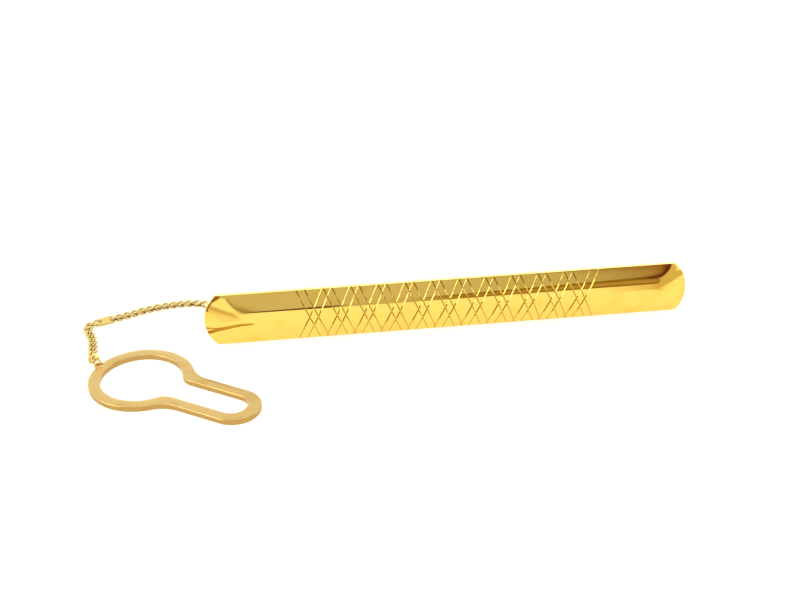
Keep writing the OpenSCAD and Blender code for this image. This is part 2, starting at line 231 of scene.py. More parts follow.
def swept_tube(path: np.ndarray, radius: float, sides: int, closed: bool) -> Solid:
    """Sweeps a round section along a path whose points turn round its middle.

    Args:
        path: Points of the centre line, one row each.
        radius: Radius of the section.
        sides: Points round the section.
        closed: Whether the path joins its own start.

    Returns:
        The points and faces of the tube, with flat ends where it is open.
    """
    count = len(path)
    along = np.roll(path, -1, 0) - np.roll(path, 1, 0) if closed else np.gradient(path, axis=0)
    along /= np.linalg.norm(along, axis=1)[:, None]
    across, slip = section_frames(path, along, closed)
    angles = np.arange(sides) * 2 * math.pi / sides
    points = []
    for i in range(count):
        up = np.cross(along[i], across[i])
        turned = angles + slip * i / count
        ring = np.outer(np.cos(turned), across[i]) + np.outer(np.sin(turned), up)
        points.append(path[i] + radius * ring)
    faces = []
    for i in range(count if closed else count - 1):
        j = (i + 1) % count
        for k in range(sides):
            n = (k + 1) % sides
            faces.append((i * sides + k, i * sides + n, j * sides + n, j * sides + k))
    if not closed:
        faces.append(tuple(range(sides - 1, -1, -1)))
        faces.append(tuple((count - 1) * sides + k for k in range(sides)))
    return np.vstack(points), faces


def rounded_plate(outline: np.ndarray, low: float, high: float, edge: float, steps: int = 5) -> Solid:
    """Makes a flat plate with rounded edges from a convex outline.

    Args:
        outline: Points of x and y round the plate, counter-clockwise.
        low: Height of its underside.
        high: Height of its top.
        edge: Radius of its edges.
        steps: Points round each edge.

    Returns:
        The points and faces of the plate.
    """
    along = np.roll(outline, -1, 0) - np.roll(outline, 1, 0)
    outward = np.stack([along[:, 1], -along[:, 0]], 1) / np.linalg.norm(along, axis=1)[:, None]
    angles = np.radians(np.linspace(0, 90, steps))
    rings = [(edge * (1 - math.sin(a)), low + edge * (1 - math.cos(a))) for a in angles]
    rings += [(edge * (1 - math.cos(a)), high - edge * (1 - math.sin(a))) for a in angles]
    points = [np.column_stack([outline - outward * inset, np.full(len(outline), z)]) for inset, z in rings]
    count = len(outline)
    faces = [tuple(range(count - 1, -1, -1)), tuple(range((len(rings) - 1) * count, len(rings) * count))]
    for r in range(len(rings) - 1):
        for i in range(count):
            j = (i + 1) % count
            faces.append((r * count + i, r * count + j, (r + 1) * count + j, (r + 1) * count + i))
    return np.vstack(points), faces


def round_outline(x: float, radius: float, sides: int = 40) -> np.ndarray:
    """Points round a circle on the x axis."""
    angles = np.arange(sides) * 2 * math.pi / sides
    return np.stack([x + radius * np.cos(angles), radius * np.sin(angles)], 1)


def round_punch(x: float, radius: float, low: float, high: float, sides: int = 40) -> Solid:
    """A round punch that stands on the x axis, from one height to another."""
    edge = 0.01
    return rounded_plate(round_outline(x, radius, sides), low, high, edge)


def combined(base: Solid, *steps: tuple[Joining, Solid]) -> Solid:
    """Joins solids to a solid, or cuts them from it.

    Args:
        base: Points and faces of the first solid, in millimetres.
        *steps: Pairs of the way of joining and the solid to use.

    Returns:
        The points and faces of the result.
    """
    solids = []
    for number, (points, faces) in enumerate([base, *(solid for _, solid in steps)]):
        mesh = bpy.data.meshes.new(f"solid_{number}")
        mesh.from_pydata([tuple(p) for p in points], [], faces)
        solids.append(new_object(f"solid_{number}", mesh))
    for tool, (joining, _) in zip(solids[1:], steps):
        change = solids[0].modifiers.new("step", "BOOLEAN")
        change.operation = joining.value
        change.object = tool
        change.solver = "EXACT"
    bpy.context.view_layer.update()
    result = solids[0].evaluated_get(bpy.context.evaluated_depsgraph_get()).to_mesh()
    points = np.array([v.co for v in result.vertices])
    faces = [tuple(p.vertices) for p in result.polygons]
    for solid in solids:
        bpy.data.objects.remove(solid)
    return points, faces


def place(points: np.ndarray, matrix: Matrix) -> np.ndarray:
    """Moves points by a matrix."""
    m = np.array(matrix, float)
    return points @ m[:3, :3].T + m[:3, 3]


def dress(piece: bpy.types.Object, finish: bpy.types.Material, slot: str) -> None:
    """Gives a piece its only material.

    Args:
        piece: The piece, or a carried-over CAD node.
        finish: Its material.
        slot: The record's material slot; not used.
    """
    piece.data.materials.clear()
    piece.data.materials.append(finish)


@dataclass(frozen=True)
class Metal:
    """A plated or drawn metal finish with its own grain.

    Colours are sRGB hex values. Worn patches take the worn colour, up to their share of it, and faces marked
    as cut take the painted shade colour, a darker colour that paints shade on them. The sheet sways over a
    length and by a height, and edges look rounded.
    """

    name: str
    colour: str
    worn_colour: str
    roughness: float
    rough_spread: float
    grain: Grain
    grain_mm: tuple[float, float, float]
    grain_height_mm: float
    sway_mm: float = 9.0
    sway_height_mm: float = 0.0
    worn_share: float = 0.5
    rounded_mm: float = 0.0
    painted_shade_colour: str = ""
    grain_fineness: float = 0.6
    patch_mm: float = 2.6
    patch_detail: float = 3.0
    patch_fineness: float = 0.55
    patch_from: float = 0.45
    patch_to: float = 0.72
    least_roughness: float = 0.02
    edge_samples: int = 6

    def build(self) -> bpy.types.Material:
        """Makes the material.

        Returns:
            The material, named for the metal and the way its surface was made.
        """
        material = bpy.data.materials.new(self.name)
        material.use_nodes = True
        tree = material.node_tree
        tree.nodes.clear()
        where = add_node(tree, "ShaderNodeTexCoord").outputs["Object"]
        grain = self.grain_height(tree, where)
        lowest = max(self.roughness - self.rough_spread, self.least_roughness)
        roughness = add_node(
            tree,
            "ShaderNodeMapRange",
            {"Value": grain, "To Min": lowest, "To Max": self.roughness + self.rough_spread},
        )
        shader = add_node(
            tree,
            "ShaderNodeBsdfPrincipled",
            {
                "Base Color": self.tint(tree, where),
                "Metallic": 1.0,
                "Roughness": roughness.outputs["Result"],
                "Normal": self.normal(tree, where, grain),
            },
        )
        add_node(tree, "ShaderNodeOutputMaterial", {"Surface": shader.outputs["BSDF"]})
        return material

    def tint(self, tree: bpy.types.NodeTree, where: Socket) -> Socket:
        """Colour of the plate with its worn patches and the painted shade on cut faces.

        Args:
            tree: The material's node tree.
            where: Place on the piece at rest.

        Returns:
            The colour.
        """
        patches = add_node(
            tree,
            "ShaderNodeTexNoise",
            {
                "Vector": where,
                "Scale": 1 / (self.patch_mm * MM),
                "Detail": self.patch_detail,
                "Roughness": self.patch_fineness,
            },
        )
        worn = add_node(
            tree,
            "ShaderNodeMapRange",
            {
                "Value": patches.outputs["Fac"],
                "From Min": self.patch_from,
                "From Max": self.patch_to,
                "To Max": self.worn_share,
            },
            interpolation_type="SMOOTHSTEP",
        )
        colour = srgb(self.colour)
        shares = [(worn.outputs["Result"], self.worn_colour)]
        # Faces marked as cut take a darker colour: painted shade.
        if self.painted_shade_colour:
            cut = add_node(tree, "ShaderNodeAttribute", attribute_name=PAINTED_SHADE_MARK)
            shares.append((cut.outputs["Fac"], self.painted_shade_colour))
        for share, other in shares:
            colour = add_node(
                tree,
                "ShaderNodeMix",
                {MIX_FACTOR: share, MIX_COLOUR_A: colour, MIX_COLOUR_B: srgb(other)},
                data_type="RGBA",
            ).outputs[MIX_COLOUR]
        return colour

    def grain_height(self, tree: bpy.types.NodeTree, where: Socket) -> Socket:
        """Height of the finish's own grain.

        Args:
            tree: The material's node tree.
            where: Place on the piece at rest.

        Returns:
            A height from 0 to 1.
        """
        scale = tuple(1 / (size * MM) for size in self.grain_mm)
        stretched = add_node(tree, "ShaderNodeMapping", {"Vector": where, "Scale": scale}).outputs["Vector"]
        noise = {"Vector": stretched, "Scale": 1.0, "Detail": self.grain.value}
        noise["Roughness"] = self.grain_fineness
        return add_node(tree, "ShaderNodeTexNoise", noise).outputs["Fac"]

    def normal(self, tree: bpy.types.NodeTree, where: Socket, grain: Socket) -> Socket:
        """Surface direction with the grain, the sheet's slight sway and its rounded edges.

        Args:
            tree: The material's node tree.
            where: Place on the piece at rest.
            grain: Height of the grain.

        Returns:
            The direction.
        """
        noise = {"Vector": where, "Scale": 1 / (self.sway_mm * MM), "Detail": 1.0}
        sway = add_node(tree, "ShaderNodeTexNoise", noise).outputs["Fac"]
        inputs = {"Height": sway, "Strength": 1.0, "Distance": self.sway_height_mm * MM}
        if self.rounded_mm:
            radius = {"Radius": self.rounded_mm * MM}
            edge = add_node(tree, "ShaderNodeBevel", radius, samples=self.edge_samples)
            inputs["Normal"] = edge.outputs["Normal"]
        swayed = add_node(tree, "ShaderNodeBump", inputs).outputs["Normal"]
        inputs = {"Height": grain, "Strength": 1.0, "Distance": self.grain_height_mm * MM, "Normal": swayed}
        return add_node(tree, "ShaderNodeBump", inputs).outputs["Normal"]


# Gold plate over stamped brass, buffed to a mirror: sharp reflections with a slight sway of the thin sheet.
# Buffing lines are about 0.01 mm wide, too fine to show, and are drawn 0.12 mm wide.
# The engraved lines take a darker colour than the face: painted shade in the grooves.
POLISHED_PLATE = Metal(
    name="gold_plate_buffed",
    colour="FAD267",
    worn_colour="F3C455",
    roughness=0.055,
    rough_spread=0.015,
    grain=Grain.POLISHED,
    grain_mm=(2.5, 0.12, 0.12),
    grain_height_mm=0.0002,
    sway_mm=11.0,
    sway_height_mm=0.004,
    # Painted shade in the engraved lines.
    painted_shade_colour="D3B04F",
)
# Gold plate over rolled sheet: fine lines along the bar break the reflections into streaks.
# Rolling lines are about 0.02 mm wide, too fine to show, and are drawn 0.09 mm wide.
BRUSHED_PLATE = Metal(
    name="gold_plate_brushed",
    colour="EEC56B",
    worn_colour="D9A94C",
    roughness=0.26,
    rough_spread=0.07,
    grain=Grain.LINED,
    grain_mm=(7.0, 0.09, 0.09),
    grain_height_mm=0.0016,
    worn_share=0.15,
)
# Gold plate over pressed brass, tumbled: a soft sheen and edges rounded by the tumbling.
# Tumbling marks are about 0.05 mm wide, too fine to show, and are drawn 0.3 mm wide.
PRESSED_PLATE = Metal(
    name="gold_plate_tumbled",
    colour="F0C66B",
    worn_colour="D8A64A",
    roughness=0.22,
    rough_spread=0.06,
    grain=Grain.SATIN,
    grain_mm=(0.3, 0.3, 0.3),
    grain_height_mm=0.002,
    worn_share=0.15,
    rounded_mm=0.07,
)
# Gold plate over a turned pin: fine turning lines round its axis, at a lathe's usual feed of 0.05 mm.
TURNED_PIN = Metal(
    name="gold_plate_turned",
    colour="E9BE66",
    worn_colour="CF9C45",
    roughness=0.2,
    rough_spread=0.06,
    grain=Grain.LINED,
    grain_mm=(0.6, 0.6, 0.05),
    grain_height_mm=0.001,
    rounded_mm=0.1,
)
# Spring steel, cold drawn: a bright grey wire with fine lengthways lines.
# Die lines are about 0.01 mm wide, too fine to show, and are drawn 0.08 mm wide.
DRAWN_STEEL = Metal(
    name="spring_steel_drawn",
    colour="B9BABD",
    worn_colour="8E8C8A",
    roughness=0.24,
    rough_spread=0.08,
    grain=Grain.LINED,
    grain_mm=(0.08, 0.4, 0.4),
    grain_height_mm=0.001,
)
# Gold plate over brass wire, barrel polished: bright, with a faint unevenness as wide as the wire.
WIRE_PLATE = Metal(
    name="gold_plate_wire",
    colour="FBD777",
    worn_colour="E9BC55",
    roughness=0.1,
    rough_spread=0.04,
    grain=Grain.POLISHED,
    grain_mm=(0.4, 0.4, 0.4),
    grain_height_mm=0.0008,
)
# Gold plate over curb chain with diamond-cut faces: each face throws a hard glint beside a dark one.
# The faces are a little uneven over about half a link's length.
CUT_CHAIN = Metal(
    name="gold_plate_diamond_cut",
    # The colour is darker than plain gold plate: partly dirt, partly painted shade between the links.
    colour="D0B876",
    worn_colour="AA8E50",
    roughness=0.12,
    rough_spread=0.04,
    grain=Grain.POLISHED,
    grain_mm=(0.5, 0.5, 0.5),
    grain_height_mm=0.0008,
)
# Gold plate over a pressed tag, smooth and pale, uneven over about the thickness of its sheet.
TAG_PLATE = Metal(
    name="gold_plate_tag",
    colour="D8BC72",
    worn_colour="CAA95C",
    roughness=0.16,
    rough_spread=0.04,
    grain=Grain.SATIN,
    grain_mm=(0.25, 0.25, 0.25),
    grain_height_mm=0.0008,
)
# Gold plate over a blanked brass plate, matt tumbled: paler than the bar, with no clear reflections.
# Its matt grain is about 0.05 mm wide, too fine to show, and is drawn 0.35 mm wide.
# The upright side walls take a darker colour than the faces: painted shade.
SATIN_PLATE = Metal(
    name="gold_plate_satin",
    colour="CFB06C",
    worn_colour="BD9650",
    roughness=0.3,
    rough_spread=0.08,
    grain=Grain.SATIN,
    grain_mm=(0.35, 0.35, 0.35),
    grain_height_mm=0.0035,
    # Painted shade on the upright side walls.
    painted_shade_colour="BF9A58",
)


@dataclass(frozen=True)
class Paper:
    """Matt paper that glows a little from below. Colours are sRGB hex values."""

    name: str
    colour: str
    roughness: float
    specular: float
    glow_colour: str
    glow: float

    def build(self) -> bpy.types.Material:
        """Makes the material.

        Returns:
            The material, named for the paper.
        """
        material = bpy.data.materials.new(self.name)
        material.use_nodes = True
        shader = material.node_tree.nodes["Principled BSDF"]
        for name, value in (
            ("Base Color", srgb(self.colour)),
            ("Roughness", self.roughness),
            ("Specular IOR Level", self.specular),
            ("Emission Color", srgb(self.glow_colour)),
            ("Emission Strength", self.glow),
        ):
            shader.inputs[name].default_value = value
        return material


# Matt white paper on a light table: it has no gloss, and shadows on it are faint.
FLOOR_PAPER = Paper("paper_matt", "939291", roughness=0.9, specular=0.1, glow_colour="FFFBEF", glow=0.86)


@dataclass
class BarFrame:
    """The bar's own frame: x along it, y to its back, z up its width.

    It starts at the middle of the bar's lower front edge. Sizes in millimetres.
    """

    hinge_left: float = 9.0
    pin_depth: float = 2.65
    pin_up: float = 3.25

    def pin(self) -> tuple[float, float, float]:
        """Middle of the hinge pin, in millimetres."""
        return (-self.hinge_left, self.pin_depth, self.pin_up)

    def matrix(self) -> Matrix:
        """Places the bar's frame by its hinge.

        Returns:
            Matrix from the bar's frame in millimetres to the table's frame in metres.
        """
        hinge = joint_of("jaw")
        up = Vector(hinge["axis"]).normalized()
        along = Vector((1, 0, 0))
        turn = Matrix((along, up.cross(along), up)).transposed()
        corner = Vector(hinge["pos_m"]) - turn @ Vector(self.pin()) * MM
        return Matrix.Translation(corner) @ (turn * MM).to_4x4()


@dataclass(frozen=True)
class LineSet:
    """One set of engraved line pairs, cut by hand with a slowly changing lean. Millimetres and degrees."""

    lean: float
    fan: float
    pitch: float
    off: float


@dataclass
class EngravedBar:
    """The crowned bar, stamped from sheet with a turned edge, domed ends and engraved lines.

    Sizes in millimetres. The face sinks from its crown to the edge, and rolls down into both ends.
    """

    length: float = 65.0
    width: float = 6.5
    crown: float = 0.8
    edge_depth: float = 1.0
    wall: float = 0.45
    end_bulge: float = 1.55
    end_roll: float = 5.0
    end_drop: float = 0.75
    roll_power: float = 2.3
    blend_power: float = 2.6
    left_low_power: float = 1.4
    crossings: int = 11
    rising: LineSet = LineSet(28.5, 1.7, 3.6, -0.28)
    falling: LineSet = LineSet(-23.7, 0.7, 3.58, -0.62)
    pair_gap: float = 1.02
    line_width: float = 0.17
    line_depth: float = 0.06
    round_r: float = 0.09
    round_from: float = 28.0
    round_steps: int = 6
    fade_rings: int = 5
    back_corner: float = 0.07
    inner_depth: float = 0.5
    core_half: float = 27.0
    core_step: float = 0.5
    end_columns: int = 30
    rows: int = 26
    point_snap: float = 0.0008
    rim_snap: float = 0.001
    sharp_deg: float = 32.0
    to_table: Matrix = field(default_factory=Matrix)

    def front(self, x: np.ndarray, z: np.ndarray) -> np.ndarray:
        """Depth of the plain crowned face.

        Args:
            x: Places along the bar.
            z: Places up its width.

        Returns:
            The depth at each place, less than 0 in front of the edge.
        """
        half = self.width / 2
        radius = (half**2 + self.crown**2) / (2 * self.crown)
        sag = radius - np.sqrt(radius**2 - np.clip(z - half, -half, half) ** 2)
        into_end = np.clip((np.abs(x) - self.length / 2 + self.end_roll) / self.end_roll, 0, None)
        roll = self.end_drop * into_end**self.roll_power
        power = np.where((x < 0) & (z < half), self.left_low_power, self.blend_power)
        tiny = 1e-12
        return (sag**power + roll**power + tiny) ** (1 / power) - self.crown

    def front_normal(self, x: np.ndarray, z: np.ndarray) -> np.ndarray:
        """Direction square to the plain crowned face.

        Args:
            x: Places along the bar.
            z: Places up its width.

        Returns:
            The direction at each place, one row each.
        """
        step = 0.002
        slope_x = (self.front(x + step, z) - self.front(x - step, z)) / (2 * step)
        slope_z = (self.front(x, z + step) - self.front(x, z - step)) / (2 * step)
        normal = np.stack([slope_x, -np.ones_like(slope_x), slope_z], 1)
        return normal / np.linalg.norm(normal, axis=1)[:, None]

    def lines(self) -> list[tuple[float, float]]:
        """Lists the engraved lines.

        Returns:
            Each line's place on the bar's middle line and its lean in radians.
        """
        found = []
        half_count = (self.crossings - 1) / 2
        for lines in (self.rising, self.falling):
            for number in range(self.crossings):
                share = number / half_count - 1
                lean = math.radians(lines.lean + lines.fan * share)
                middle = lines.off + share * half_count * lines.pitch
                for pair in (-1, 1):
                    found.append((middle + pair * self.pair_gap / math.cos(lean) / 2, lean))
        return found

    def groove(self, x: np.ndarray, z: np.ndarray) -> np.ndarray:
        """Depth of the engraved lines below the plain face.

        Args:
            x: Places along the bar.
            z: Places up its width.

        Returns:
            The depth at each place, from 0 outside the lines to the full depth on their middle.
        """
        depth = np.zeros_like(x)
        for start, lean in self.lines():
            off = np.abs((x - start) * math.cos(lean) - (z - self.width / 2) * math.sin(lean))
            depth = np.maximum(depth, self.line_depth * (1 - off / (self.line_width / 2)))
        return depth

    def end_radius(self) -> float:
        """Radius of the bar's bulging ends, seen from the front."""
        return ((self.width / 2) ** 2 + self.end_bulge**2) / (2 * self.end_bulge)

    def end_half(self, z: float, inset: float) -> float:
        """Half the bar's length at a place up its width.

        Args:
            z: The place up its width.
            inset: How far the outline is drawn in.

        Returns:
            Half the length.
        """
        radius = self.end_radius()
        reach = math.sqrt(max((radius - inset) ** 2 - (z - self.width / 2) ** 2, 0))
        return self.length / 2 - radius + reach

    def flat_grid(self, inset: float) -> bmesh.types.BMesh:
        """The face as a flat grid, cut along both edges and the middle of each engraved line.

        Args:
            inset: How far the grid's outline is drawn in from the bar's.

        Returns:
            The grid of x and z.
        """
        core = np.arange(-self.core_half, self.core_half + self.core_step / 2, self.core_step)
        grid = bmesh.new()
        rows = []
        for z in np.linspace(inset, self.width - inset, self.rows + 1):
            tip = self.end_half(z, inset)
            end = self.core_half + (tip - self.core_half) * np.linspace(0, 1, self.end_columns + 1)[1:]
            rows.append([grid.verts.new((x, 0, z)) for x in (*-end[::-1], *core, *end)])
        for lower, upper in zip(rows, rows[1:]):
            for i in range(len(lower) - 1):
                grid.faces.new((lower[i], lower[i + 1], upper[i + 1], upper[i]))
        for start, lean in self.lines():
            across = Vector((math.cos(lean), 0, -math.sin(lean)))
            for off in (-self.line_width / 2, 0, self.line_width / 2):
                middle = Vector((start, 0, self.width / 2)) + across * off
                geometry = [*grid.verts, *grid.edges, *grid.faces]
                bmesh.ops.bisect_plane(
                    grid, geom=geometry, dist=self.point_snap, plane_co=middle, plane_no=across
                )
        return grid

    def rim_point(self, x: float, z: float, inset: float, start: float) -> tuple[float, float]:
        """Moves a point from one outline to another.

        Args:
            x: Its place along the bar.
            z: Its place up the width.
            inset: How far the new outline is drawn in.
            start: How far the outline that it lies on is drawn in.

        Returns:
            Its new place along the bar and up the width.
        """
        half = self.width / 2
        radius = self.end_radius()
        on_side = abs(z - half) > half - start - self.rim_snap
        on_end = abs(x) > self.end_half(z, start) - self.rim_snap
        up = math.copysign(1, z - half)
        if on_side and on_end:
            moved_z = half + up * (half - inset)
            return math.copysign(self.end_half(moved_z, inset), x), moved_z
        if on_side:
            return x, half + up * (half - inset)
        centre = self.length / 2 - radius
        angle = math.atan2(z - half, abs(x) - centre)
        moved_x = centre + (radius - inset) * math.cos(angle)
        return math.copysign(moved_x, x), half + (radius - inset) * math.sin(angle)

    def rim_loop(self, grid: bmesh.types.BMesh) -> list[int]:
        """Walks round the grid's outline.

        Args:
            grid: The flat grid.

        Returns:
            Numbers of the outline's points, in order.
        """
        outline = {}
        for edge in grid.edges:
            if edge.is_boundary:
                a, b = edge.link_loops[0].vert.index, edge.link_loops[0].link_loop_next.vert.index
                outline[a] = b
        first = next(iter(outline))
        loop = [first]
        while outline[loop[-1]] != first:
            loop.append(outline[loop[-1]])
        return loop

    def rings(self) -> list[tuple[float, float, float]]:
        """Sections of the turned edge, from the face's rim round to the inside of the wall.

        Returns:
            Each section's inset, its depth behind the face's rim and its depth from the front edge. One of
            the two depths is used, and the other is zero.
        """
        start = math.radians(self.round_from)
        found = []
        for step in range(1, self.round_steps + 1):
            angle = start + (math.pi / 2 - start) * step / self.round_steps
            sunk = self.round_r * (math.cos(start) - math.cos(angle))
            found.append((self.round_r * (1 - math.sin(angle)), sunk, 0.0))
        back, corner = self.edge_depth, self.back_corner
        third = 0.3 * corner
        found += [(0.0, 0.0, back - corner), (third, 0.0, back - third), (corner, 0.0, back)]
        found += [(self.wall - corner / 2, 0.0, back), (self.wall, 0.0, back - corner / 2)]
        found += [(self.wall, 0.0, self.inner_depth)]
        return found

    def build(self) -> bpy.types.Object:
        """Builds the bar's front with its grooves and turned edge, and dresses it.

        Returns:
            The piece, riding on the clip in place of its CAD node.
        """
        inset = self.round_r * (1 - math.sin(math.radians(self.round_from)))
        grid = self.flat_grid(inset)
        grid.verts.index_update()
        loop = self.rim_loop(grid)
        flat = np.array([v.co for v in grid.verts])
        faces = [tuple(v.index for v in face.verts) for face in grid.faces]
        grid.free()
        x, z = flat[:, 0], flat[:, 2]
        depth = self.groove(x, z)
        points = [np.stack([x, self.front(x, z) + depth, z], 1)]
        face_count = len(faces)
        previous = loop
        count = len(flat)
        rim_x, rim_z = x[loop], z[loop]
        rim_y = self.front(rim_x, rim_z)
        for number, (ring_inset, behind, level) in enumerate(self.rings(), start=1):
            moved = [self.rim_point(a, b, ring_inset, inset) for a, b in zip(rim_x, rim_z)]
            fade = max(0.0, 1 - number / self.fade_rings)
            y = np.full(len(loop), level) if level else rim_y + behind + depth[loop] * fade
            points.append(np.array([(p[0], q, p[1]) for p, q in zip(moved, y)]))
            current = list(range(count, count + len(loop)))
            for i in range(len(loop)):
                j = (i + 1) % len(loop)
                faces.append((previous[j], previous[i], current[i], current[j]))
            previous = current
            count += len(loop)
        faces.append(tuple(previous))
        placed = place(np.vstack(points), self.to_table)
        mesh = mesh_from("front_bar_engraved", placed, faces, self.sharp_deg)
        self.smooth_face(mesh, flat, faces[:face_count])
        piece = new_object("bar_engraved", mesh)
        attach(piece, "clip")
        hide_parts("front_bar")
        dress(piece, POLISHED_PLATE.build(), "bar_polished")
        return piece

    def smooth_face(self, mesh: bpy.types.Mesh, flat: np.ndarray, faces: Faces) -> None:
        """Gives the plain face its true directions, and marks the engraved lines for their painted shade.

        With its true directions the face mirrors without facets.

        Args:
            mesh: The bar's mesh, whose first faces are the grid's.
            flat: The grid's points.
            faces: The grid's faces.
        """
        turn = np.array(self.to_table.to_3x3(), float) / MM
        exact = self.front_normal(flat[:, 0], flat[:, 2]) @ turn.T
        middles = np.array([flat[list(f)].mean(0) for f in faces])
        plain = self.groove(middles[:, 0], middles[:, 2]) <= 0
        # The engraved lines are marked for painted shade.
        marks = np.zeros(len(mesh.polygons), np.float32)
        marks[: len(faces)] = ~plain
        mark_painted_shade(mesh, marks)
        normals = np.zeros((len(mesh.loops), 3))
        for number, face in enumerate(faces):
            if plain[number]:
                start = mesh.polygons[number].loop_start
                for offset in range(len(face)):
                    normals[start + offset] = exact[mesh.loops[start + offset].vertex_index]
        mesh.normals_split_custom_set([tuple(n) for n in normals])


@dataclass
class HiddenClip:
    """What lies behind the bar: the back plate, the base strip, the pin, the jaw and its spring.

    Sizes in millimetres. One leg of the spring lies on the base strip, and the other under the jaw's tail.
    """

    spring_wire: float = 0.3
    spring_r: float = 0.8
    spring_turns: int = 3
    spring_pitch: float = 0.75
    spring_leg: float = 5.0
    base_leg_low: float = -1.07
    jaw_leg_high: float = 1.42
    steps_per_turn: int = 28
    leg_points: int = 10
    wire_sides: int = 12
    bar: BarFrame = field(default_factory=BarFrame)

    def spring_path(self) -> np.ndarray:
        """Centre line of the spring's wire round the pin: a leg, the coil and the other leg.

        Returns:
            Points from the pin's middle, one row each.
        """
        whole = 180 + 360 * self.spring_turns
        rise = self.spring_pitch * whole / 360
        steps = round(self.steps_per_turn * whole / 360)
        shares = np.linspace(0, 1, self.leg_points)
        base_rise, jaw_rise = -self.spring_r - self.base_leg_low, self.jaw_leg_high - self.spring_r
        leg = [
            (-self.spring_leg * (1 - t), self.base_leg_low + base_rise * t, -rise / 2) for t in shares[:-1]
        ]
        coil = []
        for i in range(steps + 1):
            angle = math.radians(-90 + whole * i / steps)
            round_pin = (self.spring_r * math.cos(angle), self.spring_r * math.sin(angle))
            coil.append((*round_pin, rise * (i / steps - 0.5)))
        other = [(-self.spring_leg * t, self.spring_r + jaw_rise * t, rise / 2) for t in shares[1:]]
        return np.array(leg + coil + other)

    def build_spring(self) -> bpy.types.Object:
        """Builds the round wire of the spring, and dresses it.

        Returns:
            The piece, between the clip and the jaw in place of its CAD node.
        """
        points, faces = swept_tube(self.spring_path(), self.spring_wire / 2, self.wire_sides, False)
        to_table = self.bar.matrix()
        placed = place(points + np.array(self.bar.pin()), to_table)
        piece = new_object("spring_wire", mesh_from("spring_wire", placed, faces))
        pin, reach = Vector(self.bar.pin()), Vector((0, self.spring_r, 0))
        ends = [tuple(to_table @ (pin + side * reach)) for side in (-1, 1)]
        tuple(ends[0])
        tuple(ends[1])
        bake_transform(piece)
        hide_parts("torsion_spring")
        dress(piece, DRAWN_STEEL.build(), "spring_steel")
        return piece

    def dress_kept(self) -> list[bpy.types.Object]:
        """Dresses the CAD nodes whose shapes are kept.

        Returns:
            The nodes' objects.
        """
        brushed, pressed, turned = BRUSHED_PLATE.build(), PRESSED_PLATE.build(), TURNED_PIN.build()
        kept = []
        for node, finish, slot in (
            ("back_plate", brushed, "back_brushed"),
            ("clip_base", pressed, "clip_plated"),
            ("jaw", pressed, "clip_plated"),
            ("hinge_pin", turned, "pin_plated"),
        ):
            dress(frame["nodes"][node], finish, slot)
            kept.append(frame["nodes"][node])
        return kept


@dataclass
class WireRing:
    """A ring of round wire with its fine butted seam. Sizes in millimetres, axis and seam as directions."""

    node: str
    mean_r: float
    wire: float
    axis: Vector
    seam: Vector
    seam_gap: float = 0.03
    steps: int = 72
    sides: int = 20

    def build(self, finish: bpy.types.Material) -> bpy.types.Object:
        """Builds the ring where its CAD node is, and dresses it.

        Args:
            finish: Its material.

        Returns:
            The piece, riding on the node's body.
        """
        across = self.axis.normalized()
        start = (self.seam - across * self.seam.dot(across)).normalized()
        turn = Matrix((start, across.cross(start), across)).transposed().to_4x4()
        gap = self.seam_gap / self.mean_r / 2
        angles = np.linspace(gap, 2 * math.pi - gap, self.steps)
        path = np.stack([np.cos(angles), np.sin(angles), np.zeros_like(angles)], 1) * self.mean_r
        points, faces = swept_tube(path, self.wire / 2, self.sides, False)
        matrix = Matrix.Translation(box_middle(self.node)) @ turn @ Matrix.Scale(MM, 4)
        piece = new_object(self.node + "_wire", mesh_from(self.node, place(points, matrix), faces))
        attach(piece, self.node)
        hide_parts(self.node)
        dress(piece, finish, "ring_plated")
        return piece


@dataclass
class ChainRings:
    """The two rings at the chain's ends. Sizes in millimetres.

    The clip's ring leans in the tab's hole towards the first link. The loop's ring stands in the ear's hole.
    """

    clip_r: float = 1.0
    clip_wire: float = 0.34
    clip_tilt: float = 38.0
    clip_seam: tuple[float, float, float] = (1, 0, 0.4)
    loop_r: float = 0.85
    loop_wire: float = 0.3

    def build(self) -> list[bpy.types.Object]:
        """Builds both rings.

        Returns:
            The pieces.
        """
        hole, first = anchor_of("clip_ring"), anchor_of("chain_link_01")
        dip = math.asin((hole.z - first.z) / (first - hole).length)
        tilt = math.radians(self.clip_tilt)
        lying = Matrix.Rotation(-dip, 3, "X") @ Vector((math.sin(tilt), 0, math.cos(tilt)))
        level = Vector(joint_of("button_loop")["axis"])
        wire = WIRE_PLATE.build()
        rings = (
            WireRing("clip_ring", self.clip_r, self.clip_wire, lying, Vector(self.clip_seam)),
            WireRing("loop_ring", self.loop_r, self.loop_wire, level, Vector((0, 0, -1))),
        )
        return [ring.build(wire) for ring in rings]


